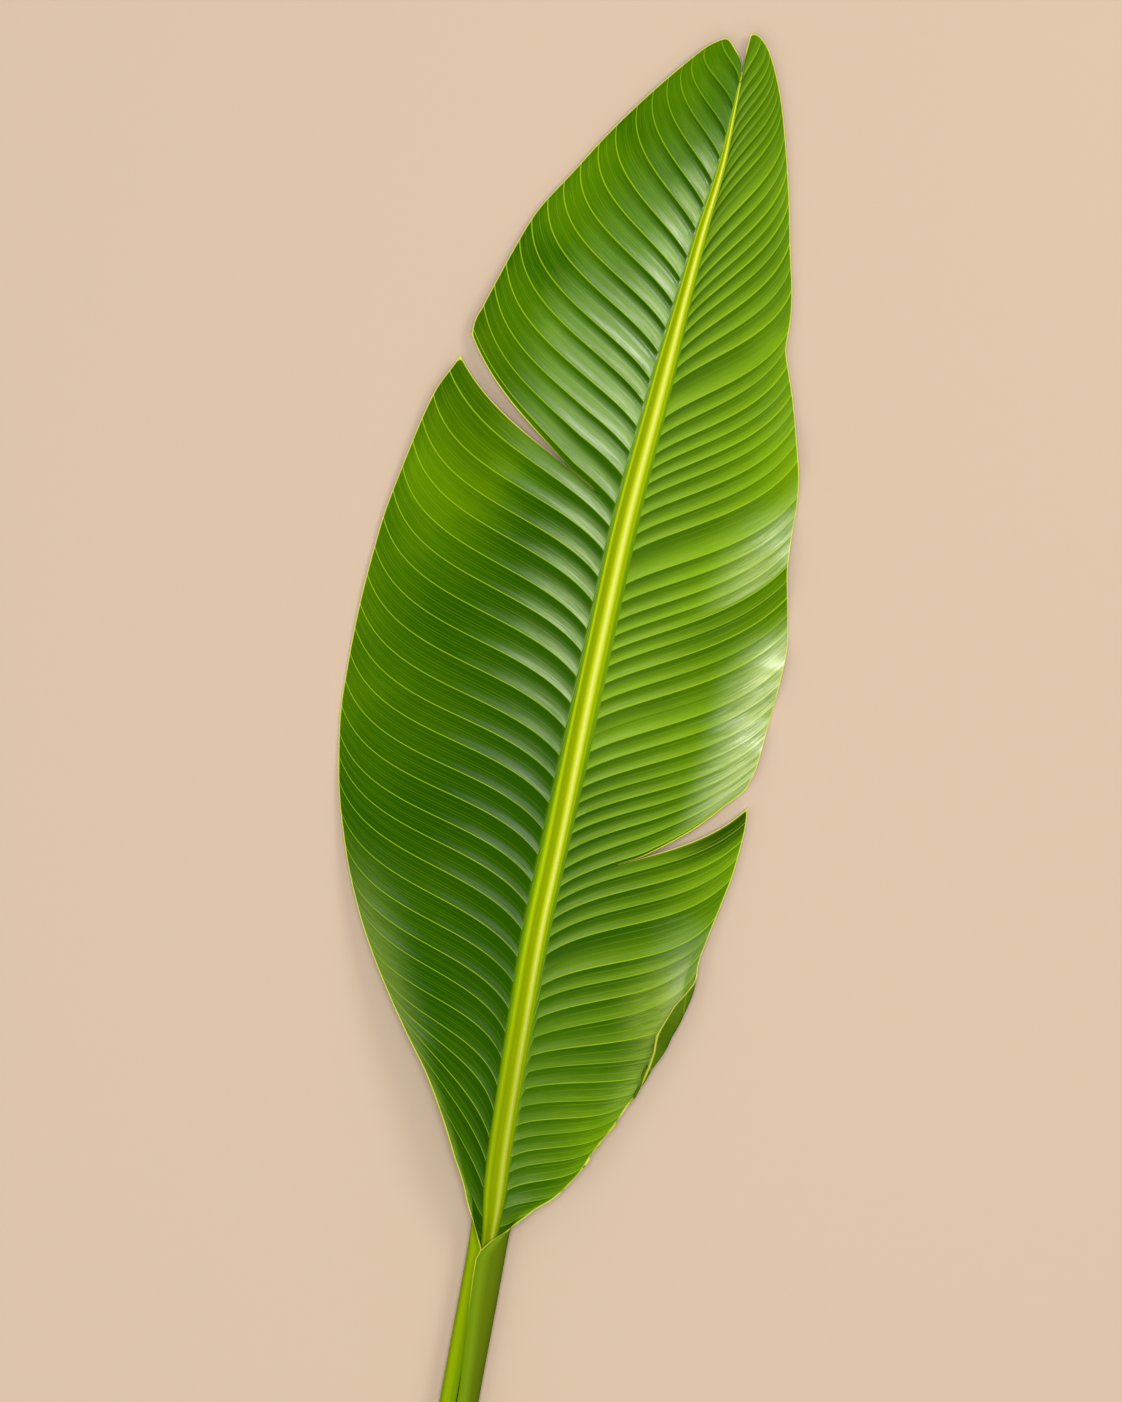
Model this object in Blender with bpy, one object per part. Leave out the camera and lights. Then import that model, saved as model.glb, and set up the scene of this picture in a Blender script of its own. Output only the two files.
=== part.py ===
"""Leaf of a white bird of paradise, picked with its stalk and laid on a surface, upper face up."""

import math

import bmesh
import bpy
from mathutils import Vector

# Sizes, in millimetres. x runs across the leaf and y along the midrib, from the foot of the blade.
MM = 0.001
STALK_END = -185.0
STALK_RADIUS = 9.65
STALK_FLAT = 0.6
NOTCH = 596.5
BLADE_THICKNESS = 0.75
VEIN_SPACING = 14.1
VEIN_HEIGHT = 1.0
TEAR_KERF = 0.8
LEFT_TEAR = 368.4
RIGHT_TEAR = 177.6
CURL_RADIUS = 2.0
CURL_TURN = 160.0
LOBE_ROUNDING = 1.3
WAVE_HEIGHT = 3.2
WAVE_LENGTH = 76.0
WAVE_CREST = 357.0

# Centre line of the midrib, as (y, x)
MIDRIB = [(-185, 9.5), (-75, 4.6), (0, 1.9), (45, -2.2), (97, -5.3), (172, -8.3), (250, -8.4)]
MIDRIB += [(351, -8.9), (429, -6.2), (511, -2.7), (558, 0.4), (596, 0.0), (640, -1.0)]

# Half width of the channel in the midrib, its depth, and the depth of the keel under it, as (y, size)
CHANNEL = [(-185, 5.4), (100, 5.5), (330, 5.4), (440, 4.6), (475, 3.5), (520, 2.5), (565, 1.3)]
CHANNEL += [(596, 0.4)]
CHANNEL_DEPTH = [(0, 3.4), (120, 2.8), (330, 2.0), (475, 1.2), (596, 0.2)]
KEEL_WIDTH = [(0, 8.2), (200, 7.4), (400, 6.0), (520, 3.6), (596, 0.9)]
KEEL_DEPTH = [(0, 12.5), (100, 11.0), (250, 8.5), (400, 5.5), (520, 2.6), (596, 0.3)]

# Margins as seen from above, as (y, x). The last point of each is the tip of a lobe.
LEFT_MARGIN = [(-185, -22), (0, -21), (12, -17), (22, -16.2), (40, -24.7), (58, -34.8), (76, -46.6)]
LEFT_MARGIN += [(94, -61), (111, -73.8), (129, -86.2), (147, -96.8), (175, -109.8), (213, -122)]
LEFT_MARGIN += [(253, -128.5), (294, -129.8), (335, -128.3), (377, -122.5), (409, -116)]
LEFT_MARGIN += [(429.5, -107.3), (440, -104.0), (447, -104.0), (456, -101.6), (486, -93.1), (507, -86)]
LEFT_MARGIN += [(532, -71.8), (555, -58.4), (579, -42.2), (600, -26.2), (608, -19.4), (613.9, -12.2)]
RIGHT_MARGIN = [(-185, 30), (0, 28), (10, 25.6), (20, 24.6), (27, 28.2), (33, 32.4), (44, 38.9)]
RIGHT_MARGIN += [(56, 43.6), (72, 51.4), (84, 56.2), (96, 60.8), (108, 65.7), (120, 69.2), (132, 72.3)]
RIGHT_MARGIN += [(145, 74.5), (158, 74.7), (168, 75.9), (192, 79.9), (207, 82.1), (228, 83)]
RIGHT_MARGIN += [(239.2, 81.9), (247.5, 79.4), (259, 81.8), (276, 82.9), (300, 84.2), (318, 84.4)]
RIGHT_MARGIN += [(336, 81.4), (348, 78.5), (360, 75.8), (374, 74.4), (392, 73.6), (405, 71.7)]
RIGHT_MARGIN += [(420, 67.5), (444, 60), (456, 55.4), (469, 51.1), (480, 50.6), (492, 49), (516, 42.9)]
RIGHT_MARGIN += [(540, 37), (564, 30.2), (588, 22.4), (600, 17.2), (608, 13), (613, 9.7), (616.5, 6.2)]
RIGHT_MARGIN += [(618.2, 3.4), (618.9, 0.9)]

# Veins, as (start y, end y, angle at the start, angle at the end), in degrees above straight across
LEFT_VEINS = [(-185, -185, 0, 0), (-40, -40, 0, 0), (-10, -8, 8, 8), (3, 12, 30, 30), (20, 60, 58, 52)]
LEFT_VEINS += [(44, 103, 58, 46), (64, 115, 63, 48), (84, 127, 57, 46), (105, 156, 51, 56)]
LEFT_VEINS += [(125, 176, 44, 58), (145, 200, 42, 60), (186, 240, 42, 61), (247, 302, 38, 60)]
LEFT_VEINS += [(309, 371, 41, 68), (350, 410, 39, 65), (368, 429.5, 37, 51.5), (391, 455, 39, 68)]
LEFT_VEINS += [(411, 477, 40, 73), (432, 500, 42, 80), (473, 534, 45, 88), (515, 571, 47, 92)]
LEFT_VEINS += [(540, 588, 50, 96), (560, 599, 54, 104), (582, 608, 68, 116), (596.5, 613.9, 90, 42)]
RIGHT_VEINS = [(-185, -185, 0, 0), (-40, -40, 0, 0), (-10, -9, 0, 0), (3, 9, 20, 20), (12, 26, 42, 50)]
RIGHT_VEINS += [(27, 52, 42, 72), (47, 76, 34, 70), (67, 101, 28, 72), (88, 134, 28, 74)]
RIGHT_VEINS += [(108, 162, 37, 74), (128, 183, 42, 68), (148, 208, 46, 61), (169, 230, 45, 57)]
RIGHT_VEINS += [(177, 239.2, 44.5, 56), (189, 252, 42.5, 56), (210, 270, 39, 56), (250, 315, 36, 58)]
RIGHT_VEINS += [(312, 374, 35, 60), (353, 417, 39, 68), (373, 436, 40, 72), (414, 472, 45, 74)]
RIGHT_VEINS += [(435, 496, 50, 82), (455, 522, 56, 86), (475, 545, 62, 90), (518, 583, 76, 98)]
RIGHT_VEINS += [(560, 606, 84, 106), (582, 614, 88, 104), (596.5, 618.9, 99, 93)]

# How far each tear has opened at the margin, for the veins above it, as (start y, size)
LEFT_OPENING = [(368, 11), (391, 6), (411, 2), (432, 0)]
RIGHT_OPENING = [(177, 9.0), (189, 4.5), (210, 1), (230, 0)]

# Heights of the blade beside the midrib and at the margins, and the width each half bends over, as (y, size)
CREST = [(-185, 16.0), (0, 16.4), (100, 17.4), (200, 18.2), (300, 17.6), (400, 15.4), (500, 11.4)]
CREST += [(596, 6.2)]
LEFT_HEIGHT = [(0, 24), (40, 30), (75, 27), (110, 18), (150, 9), (200, 3.2), (250, 1.235), (320, 2.3)]
LEFT_HEIGHT += [(400, 4.8), (441, 7.5), (480, 5), (540, 2.6), (612, 1.6)]
RIGHT_HEIGHT = [(0, 21), (30, 22), (60, 19), (100, 13), (150, 10), (200, 7), (240, 5.4), (280, 4.3)]
RIGHT_HEIGHT += [(330, 4.81), (400, 5.2), (470, 4.2), (540, 3), (617, 2)]
LEFT_SPAN = [(0, 26), (40, 30), (94, 62), (147, 92), (213, 114), (294, 121), (377, 115), (453, 97)]
LEFT_SPAN += [(532, 74), (612, 48)]
RIGHT_SPAN = [(0, 27), (33, 36), (79, 62), (123, 80), (200, 90), (300, 92), (380, 84), (448, 66)]
RIGHT_SPAN += [(516, 48), (617, 30)]
CURL = [(80, 0), (89, 2.8), (97, 5.3), (109, 8.2), (121, 11.6), (134, 10.6), (144, 6.6), (152, 3)]
CURL += [(160, 0)]

# Where each row of points lies, as a share of the way from the channel to the margin
LEFT_STEPS = [0, 0.05, 0.17, 0.38, 0.58, 0.79, 1]
RIGHT_STEPS = [0, 0.05, 0.16, 0.32, 0.5, 0.66, 0.8, 0.88, 0.93, 0.97, 1]
CURL_STEPS = [0, 0.06, 0.2, 0.42, 0.66, 0.82, 0.86, 0.886, 0.912, 0.95, 1]
CHANNEL_STEPS = [-1, -0.5, 0, 0.5, 1]
RIDGE = [1.0, -0.5, -0.5]
STALK_ROWS = [-185, -160, -130, -100, -72, -48, -30, -18, -9, -2]


def along(points, place):
    """Value at a place on the smooth line through a few (place, value) points."""
    if place <= points[0][0]:
        return points[0][1]
    if place >= points[-1][0]:
        return points[-1][1]
    index = 0
    while points[index + 1][0] < place:
        index += 1

    def slope(k):
        return (points[k + 1][1] - points[k][1]) / (points[k + 1][0] - points[k][0])

    def tangent(k):
        if k == 0:
            return slope(0)
        if k == len(points) - 1:
            return slope(k - 1)
        before, after = slope(k - 1), slope(k)
        if before * after <= 0:
            return 0.0
        return 2 * before * after / (before + after)

    x0, y0 = points[index]
    x1, y1 = points[index + 1]
    step = x1 - x0
    t = (place - x0) / step
    rise = tangent(index) * step
    fall = tangent(index + 1) * step
    return (
        (2 * t ** 3 - 3 * t ** 2 + 1) * y0
        + (t ** 3 - 2 * t ** 2 + t) * rise
        + (3 * t ** 2 - 2 * t ** 3) * y1
        + (t ** 3 - t ** 2) * fall
    )


def ramp(low, high, value):
    """Smooth step from 0 at low to 1 at high."""
    t = min(1.0, max(0.0, (value - low) / (high - low)))
    return t * t * (3 - 2 * t)


def column(rows, index):
    """One column of a table, with its first column as the place."""
    return [(row[0], row[index]) for row in rows]


def flat_margin(side, y):
    """Margin of the blade laid flat: on the right, past the outline by what the fold takes up."""
    margin = along(LEFT_MARGIN if side < 0 else RIGHT_MARGIN, y)
    if side < 0:
        return margin
    band = along(CURL, y)
    return margin + band - CURL_RADIUS * math.sin(min(band / CURL_RADIUS, math.pi / 2))


def opened(side, share):
    """How much of a tear's opening is left at a share of the way from the channel to the margin."""
    if side < 0:
        return max(0.0, (share - 0.4) / 0.6) ** 0.8
    return min(1.0, max(0.0, (share - 0.52) / 0.34))


def vein(side, start, share, above):
    """Point of the flat leaf on a vein, for a share of the way from the channel to the margin."""
    table = LEFT_VEINS if side < 0 else RIGHT_VEINS
    opening = LEFT_OPENING if side < 0 else RIGHT_OPENING
    end = along(column(table, 1), start)
    lean_start = math.radians(along(column(table, 2), start))
    lean_end = math.radians(along(column(table, 3), start))
    base = Vector((along(MIDRIB, start) + side * along(CHANNEL, start), start))
    foot = along(MIDRIB, end) if end < 30 else 0.0
    tip = Vector((flat_margin(side, end) + foot * ramp(30, 0, end), end))
    reach = 1.04 * (tip - base).length
    leave = reach * Vector((side * math.cos(lean_start), math.sin(lean_start)))
    arrive = reach * Vector((side * math.cos(lean_end), math.sin(lean_end)))
    t = share
    point = (2 * t ** 3 - 3 * t ** 2 + 1) * base + (t ** 3 - 2 * t ** 2 + t) * leave
    point += (3 * t ** 2 - 2 * t ** 3) * tip + (t ** 3 - t ** 2) * arrive
    if above:
        apart = end + along(opening, start)
        point += (Vector((flat_margin(side, apart), apart)) - tip) * opened(side, t)
    lobe = Vector((-12.2, 613.9) if side < 0 else (0.9, 618.9))
    inward = Vector((0.0, -1.0) if side < 0 else (0.15, -1.0))
    return point + inward * LOBE_ROUNDING * math.exp(-((point - lobe).length / 2.0) ** 2)


def open_height(side, x, y):
    """Height of the upper face of the spread blade over the surface."""
    across = abs(x - along(MIDRIB, y))
    crest = along(CREST, y)
    edge = along(LEFT_HEIGHT if side < 0 else RIGHT_HEIGHT, y)
    span = along(LEFT_SPAN if side < 0 else RIGHT_SPAN, y)
    share = min(1.2, across / span)
    power = 2.1 - 0.9 * ramp(110, 30, y)
    height = crest + (edge - crest) * share ** power
    if side > 0:
        wave = ramp(235, 275, y) * ramp(470, 405, y)
        height += WAVE_HEIGHT * wave * share ** 3 * math.cos(2 * math.pi * (y - WAVE_CREST) / WAVE_LENGTH)
    return height


def curled(x, y, z):
    """The lower right margin folded up and over, where the flat leaf reaches past the fold."""
    band = along(CURL, y)
    fold = flat_margin(1, y) - band
    if band <= 0 or x <= fold:
        return x, z
    full = math.radians(CURL_TURN)
    turn = min((x - fold) / CURL_RADIUS, full)
    flap = max(0.0, x - fold - full * CURL_RADIUS)
    across = CURL_RADIUS * math.sin(turn) + flap * math.cos(full)
    return fold + across, z + CURL_RADIUS * (1 - math.cos(turn)) + flap * math.sin(full)


def rolled(side, share, y, outer):
    """Point of the closed stalk in cross section, with the right lip lying over the left one."""
    last = 168 if side < 0 else 186 + 24 * ramp(-80, -10, y)
    degrees = 40 + (last - 40) * share ** 0.72
    radius = STALK_RADIUS
    if side < 0:
        radius -= 2.1 * ramp(116, 146, degrees)
    if not outer:
        radius -= 1.25 + 4.6 * ramp(150, 20, degrees)
    angle = math.radians(degrees)
    height = STALK_RADIUS - radius * math.cos(angle)
    return side * radius * math.sin(angle), height


def channel_rolled(place, outer):
    """Point of the stalk's floor, between its two walls."""
    angle = math.radians(40 * place)
    radius = STALK_RADIUS if outer else STALK_RADIUS - 5.75
    height = STALK_RADIUS - radius * math.cos(angle)
    if outer and height < STALK_FLAT:
        height = 0.0
    return radius * math.sin(angle), height


def closing(y):
    """How far the halves of the leaf have closed into the stalk at this place."""
    return ramp(30, -10, y)


def spread_point(side, start, share, above, relief):
    """Point of the upper face of the blade, as if no part of it were closed into the stalk."""
    x, y = vein(side, start, share, above)
    z = open_height(side, x, y) + relief
    if side > 0:
        x, z = curled(x, y, z)
    return Vector((x, y, z))


def closed_point(point, side, share, y, outer):
    """The same point once the two halves have closed into the stalk."""
    w = closing(y)
    if w == 0:
        return point
    cross, height = rolled(side, share, y, outer)
    stalk = Vector((along(MIDRIB, y) + cross, y, height))
    return point * (1 - w) + stalk * w


def channel_point(place, y, outer):
    crest = along(CREST, y)
    x = along(MIDRIB, y) + place * along(CHANNEL, y)
    if outer:
        width = along(CHANNEL, y) / along(KEEL_WIDTH, y) * abs(place)
        z = crest - 0.9 - along(KEEL_DEPTH, y) * math.sqrt(max(0.0, 1 - width * width))
    else:
        z = crest - along(CHANNEL_DEPTH, y) * (1 - place * place)
    w = closing(y)
    if w > 0:
        cross, height = channel_rolled(place, outer)
        x = x * (1 - w) + (along(MIDRIB, y) + cross) * w
        z = z * (1 - w) + height * w
    return Vector((x, y, z))


# Rows of points: the stalk, then a ridge and two valley rows for each vein, with a pair of edges at each
# tear. A row holds the start of its vein, whether it lies above the left and the right tear, and for each
# side 1 on a ridge or less than 0 in a valley. The veins of the right half start between those of the left.
rows = [(y, False, False, 0, 0) for y in STALK_ROWS]
count = 3 * round((NOTCH - 3) / VEIN_SPACING)
for k in range(count + 1):
    y = 3 + (NOTCH - 3) * k / count
    rows.append((y, y > LEFT_TEAR, y > RIGHT_TEAR, RIDGE[k % 3], RIDGE[(k - 1) % 3]))
for tear, mark in ((LEFT_TEAR, 1), (RIGHT_TEAR, 2)):
    nearest = min(range(len(rows)), key=lambda k: abs(rows[k][0] - tear))
    edges = []
    for above in (False, True):
        edge = list(rows[nearest])
        edge[0] = tear + TEAR_KERF / 2 if above else tear - TEAR_KERF / 2
        edge[mark] = above
        edge[mark + 2] = 0
        edges.append(tuple(edge))
    rows[nearest:nearest + 1] = edges
columns = [(-1, s) for s in reversed(LEFT_STEPS[1:])]
columns += [(0, s) for s in CHANNEL_STEPS]
columns += [(1, s) for s in RIGHT_STEPS[1:]]

# The upper face, and the lower face under it
spread = []
for start, left_above, right_above, left_sign, right_sign in rows:
    line = []
    for side, step in columns:
        if side == 0:
            line.append(channel_point(step, start, False))
            continue
        share = step
        if side > 0:
            bend = ramp(40, 58, start) * ramp(135, 118, start)
            twin = CURL_STEPS[RIGHT_STEPS.index(step)]
            share = step * (1 - bend) + twin * bend
        fade = ramp(0, 0.09, share) * (1 - 0.85 * share) * ramp(-5, 25, start) * ramp(600, 540, start)
        above = left_above if side < 0 else right_above
        sign = left_sign if side < 0 else right_sign
        line.append(spread_point(side, start, share, above, sign * VEIN_HEIGHT * fade))
    spread.append(line)

last_row = len(rows) - 1
last_column = len(columns) - 1
upper = []
lower = []
for i in range(last_row + 1):
    start = rows[i][0]
    top_line = []
    bottom_line = []
    for j in range(last_column + 1):
        side, step = columns[j]
        here = spread[i][j]
        if side == 0:
            top_line.append(here)
            bottom_line.append(channel_point(step, start, True))
            continue
        before = max(i - 1, 0)
        after = min(i + 1, last_row)
        mark = 1 if side < 0 else 2
        if rows[i][mark] != rows[before][mark]:
            before = i
        if rows[i][mark] != rows[after][mark]:
            after = i
        lengthwise = spread[after][j] - spread[before][j]
        crosswise = spread[i][min(j + 1, last_column)] - spread[i][max(j - 1, 0)]
        normal = crosswise.cross(lengthwise).normalized()
        thick = BLADE_THICKNESS + 0.5 * ramp(0.25, 0, step)
        top_line.append(closed_point(here, side, step, here.y, False))
        bottom_line.append(closed_point(here - normal * thick, side, step, here.y, True))
    upper.append(top_line)
    lower.append(bottom_line)

# One sheet of triangles, thickened to a closed body, so that both faces are split alike
for old in list(bpy.data.objects):
    bpy.data.objects.remove(old, do_unlink=True)
bm = bmesh.new()
row_layer = bm.verts.layers.int.new("row")
column_layer = bm.verts.layers.int.new("column")
bmesh.ops.create_grid(bm, x_segments=last_column, y_segments=last_row, size=1.0)
for vert in bm.verts:
    j = round((vert.co.x + 1) / 2 * last_column)
    i = round((vert.co.y + 1) / 2 * last_row)
    vert[row_layer] = i
    vert[column_layer] = j
torn = []
for face in bm.faces:
    i = min(vert[row_layer] for vert in face.verts)
    j = min(vert[column_layer] for vert in face.verts)
    middle = columns[j][0] + columns[j + 1][0]
    if middle < 0 and rows[i][1] != rows[i + 1][1] and columns[j][1] > 0.1 and columns[j + 1][1] > 0.1:
        torn.append(face)
    if middle > 0 and rows[i][2] != rows[i + 1][2] and columns[j][1] > 0.25:
        torn.append(face)
bmesh.ops.delete(bm, geom=torn, context="FACES")
bmesh.ops.triangulate(bm, faces=bm.faces[:], quad_method="FIXED")
front = bm.faces[:]
made = bmesh.ops.extrude_face_region(bm, geom=front)
under = {item for item in made["geom"] if isinstance(item, bmesh.types.BMVert)}
for vert in bm.verts:
    table = lower if vert in under else upper
    vert.co = table[vert[row_layer]][vert[column_layer]] * MM
bmesh.ops.triangulate(bm, faces=[face for face in bm.faces if len(face.verts) > 3])
bmesh.ops.recalc_face_normals(bm, faces=bm.faces[:])
size = [[min(v.co[k] for v in bm.verts), max(v.co[k] for v in bm.verts)] for k in range(3)]
shift = Vector((-(size[0][0] + size[0][1]) / 2, -(size[1][0] + size[1][1]) / 2, -size[2][0]))
bmesh.ops.translate(bm, verts=bm.verts[:], vec=shift)

mesh = bpy.data.meshes.new("leaf")
bm.to_mesh(mesh)
bm.free()
leaf = bpy.data.objects.new("leaf", mesh)
bpy.context.scene.collection.objects.link(leaf)

green = bpy.data.materials.new("leaf green")
green.use_nodes = True
surface = green.node_tree.nodes["Principled BSDF"]
surface.inputs["Base Color"].default_value = (0.060, 0.190, 0.012, 1.0)
surface.inputs["Roughness"].default_value = 0.38
surface.inputs["Metallic"].default_value = 0.0
mesh.materials.append(green)
mesh.shade_smooth()
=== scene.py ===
import math

import bmesh
import bpy
import numpy as np
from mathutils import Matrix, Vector, kdtree


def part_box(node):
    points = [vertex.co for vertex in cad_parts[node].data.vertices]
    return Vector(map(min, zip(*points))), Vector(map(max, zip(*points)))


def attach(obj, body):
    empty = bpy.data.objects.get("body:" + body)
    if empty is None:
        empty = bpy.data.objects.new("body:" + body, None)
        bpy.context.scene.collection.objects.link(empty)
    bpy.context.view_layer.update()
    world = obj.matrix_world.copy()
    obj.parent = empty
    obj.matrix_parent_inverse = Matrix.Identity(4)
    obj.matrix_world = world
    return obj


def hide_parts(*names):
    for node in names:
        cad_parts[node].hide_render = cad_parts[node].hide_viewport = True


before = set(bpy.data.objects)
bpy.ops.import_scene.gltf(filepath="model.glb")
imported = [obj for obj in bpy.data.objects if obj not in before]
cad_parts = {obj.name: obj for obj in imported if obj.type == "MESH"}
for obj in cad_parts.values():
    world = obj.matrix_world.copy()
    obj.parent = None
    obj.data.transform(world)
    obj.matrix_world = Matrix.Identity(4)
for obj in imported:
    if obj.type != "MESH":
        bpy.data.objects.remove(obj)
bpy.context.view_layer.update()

# The leaf
# One grown piece: two thin, ribbed halves of a glossy blade on a thick midrib, channelled above and keeled
# below. Below the blade the same sheet closes into the stalk, its right lip lying over its left one.
# Lengths are in millimetres from the foot of the blade. A side is -1 for the left half, 1 for the right.
MM = 0.001
STALK_END = -185.0
STALK_RADIUS = 9.65
STALK_FLAT = 0.6
STALK_WALL = 1.25
STALK_RIB = 4.6
CHANNEL_WALL = 5.75
CHANNEL_ANGLE = 40
LEFT_LIP = 168
RIGHT_LIP = 186
RIGHT_LIP_LAP = 24
LIP_TUCK = 2.1
NOTCH = 598.0
LEFT_LOBE = (-10.8, 614.2)
RIGHT_LOBE = (0.0, 618.9)
BLADE_THICKNESS = 0.75
BASE_THICKENING = 0.5
CHANNEL_FLOOR = 0.9
LEFT_VEIN_GAP = 12.9
RIGHT_VEIN_GAP = 17.1
LEFT_KNOWN_VEIN = (244.2, 19)
RIGHT_KNOWN_VEIN = (248.4, 15)
LEFT_RISE = 2.2
RIGHT_RISE = 1.9
VEIN_SWEEP = 1.2
TEAR_KERF = 0.5
LEFT_TEAR = 368.4
RIGHT_TEAR = 177.6
LEFT_TEAR_START = 0.11
RIGHT_TEAR_START = 0.32
CURL_RADIUS = 2.0
CURL_TURN = math.radians(160)
LOBE_ROUNDING = 1.0
WAVE_HEIGHT = 3.2
ROW_GROUPS = 42
ROWS_TO_A_GROUP = 12
LOWEST_ROW = 3.0
EDGE_REACH = 20.0
EDGE_STEP = 0.4


def smooth_line(points):
    """Reader of the smooth line through a few (place, value) points."""
    place = np.array([p[0] for p in points], float)
    value = np.array([p[1] for p in points], float)
    slope = np.diff(value) / np.diff(place)
    tangent = np.concatenate([slope[:1], np.zeros(len(points) - 2), slope[-1:]])
    same = slope[:-1] * slope[1:] > 0
    both = 2 * slope[:-1] * slope[1:] / np.where(same, slope[:-1] + slope[1:], 1)
    tangent[1:-1] = np.where(same, both, 0)

    def read(at):
        at = np.clip(np.asarray(at, float), place[0], place[-1])
        k = np.clip(np.searchsorted(place, at) - 1, 0, len(points) - 2)
        step = place[k + 1] - place[k]
        t = (at - place[k]) / step
        start = (2 * t ** 3 - 3 * t ** 2 + 1) * value[k] + (t ** 3 - 2 * t ** 2 + t) * tangent[k] * step
        return start + (3 * t ** 2 - 2 * t ** 3) * value[k + 1] + (t ** 3 - t ** 2) * tangent[k + 1] * step

    return read


def ramp(low, high, at):
    """Smooth step from 0 at low to 1 at high."""
    t = np.clip((np.asarray(at, float) - low) / (high - low), 0, 1)
    return t * t * (3 - 2 * t)


midrib = smooth_line([
    (-185, 9.5), (-75, 4.6), (0, 1.9), (45, -2.2), (97, -5.3), (172, -8.3), (250, -8.4), (351, -8.9),
    (429, -6.2), (511, -2.7), (558, 0.4), (596, 0.0), (640, -1.0),
])
channel = smooth_line([
    (-185, 5.4), (100, 5.5), (330, 5.4), (440, 4.6), (475, 3.5), (520, 2.5), (565, 1.3), (596, 0.4),
])
channel_depth = smooth_line([(0, 3.4), (120, 2.8), (330, 2.0), (475, 1.2), (596, 0.2)])
keel_width = smooth_line([(0, 8.2), (200, 7.4), (400, 6.0), (520, 3.6), (596, 0.9)])
keel_depth = smooth_line([(0, 12.5), (100, 11.0), (250, 8.5), (400, 5.5), (520, 2.6), (596, 0.3)])
left_margin = smooth_line([
    (-185, -22), (0, -21), (12, -17), (22, -16.2), (40, -24.7), (58, -34.8), (76, -46.6), (94, -61),
    (111, -73.8), (129, -86.2), (147, -96.8), (175, -109.8), (213, -122), (253, -128.5), (294, -129.8),
    (335, -128.3), (377, -122.5), (409, -116), (429.5, -107.3), (440, -104), (447, -104), (456, -101.6),
    (486, -93.1), (507, -86), (532, -71.8), (555, -58.4), (579, -42.2), (600, -26.2), (608, -19.2),
    (LEFT_LOBE[1], LEFT_LOBE[0]),
])
right_margin = smooth_line([
    (-185, 30), (0, 28), (10, 25.6), (20, 24.6), (27, 28.2), (33, 32.4), (44, 38.9), (56, 43.6), (72, 51.4),
    (84, 56.2), (96, 60.8), (108, 65.7), (120, 69.2), (132, 72.3), (145, 74.5), (158, 74.7), (168, 75.9),
    (192, 79.9), (207, 82.1), (228, 83), (239.2, 81.9), (247.5, 79.4), (259, 81.8), (276, 82.9),
    (300, 84.2),
    (318, 84.4), (336, 81.4), (348, 78.5), (360, 75.8), (374, 74.4), (392, 73.6), (405, 71.7), (420, 67.5),
    (444, 60), (456, 55.4), (469, 51.1), (480, 50.6), (492, 49), (516, 42.9), (540, 37), (564, 30.2),
    (588, 22.4), (600, 17.2), (608, 13), (613, 9.7), (616.5, 6.0), (618.2, 2.9),
    (RIGHT_LOBE[1], RIGHT_LOBE[0]),
])
curl = smooth_line([
    (80, 0), (89, 2.8), (97, 5.3), (109, 8.2), (121, 11.6), (134, 10.6), (144, 6.6), (152, 3), (160, 0),
])
crest = smooth_line([
    (-185, 16.0), (0, 16.4), (100, 17.4), (200, 18.2), (300, 17.6), (400, 15.4), (500, 11.4), (596, 6.2),
])
left_height = smooth_line([
    (0, 24), (40, 30), (75, 27), (110, 18), (150, 9), (200, 3.2), (250, 1.235), (320, 2.3), (400, 4.8),
    (441, 7.5), (480, 5), (540, 2.6), (612, 1.6),
])
right_height = smooth_line([
    (0, 21), (30, 22), (60, 19), (100, 13), (150, 10), (200, 7), (240, 5.4), (280, 4.3), (330, 4.81),
    (400, 5.2), (470, 4.2), (540, 3), (617, 2),
])
left_span = smooth_line([
    (0, 26), (40, 30), (94, 62), (147, 92), (213, 114), (294, 121), (377, 115), (453, 97), (532, 74),
    (612, 48),
])
right_span = smooth_line([
    (0, 27), (33, 36), (79, 62), (123, 80), (200, 90), (300, 92), (380, 84), (448, 66), (516, 48),
    (617, 30),
])
waves_past = smooth_line([(236, -2.5), (276, -1.75), (319, -0.75), (376, 0.25), (420, 1), (471, 1.75)])

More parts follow.
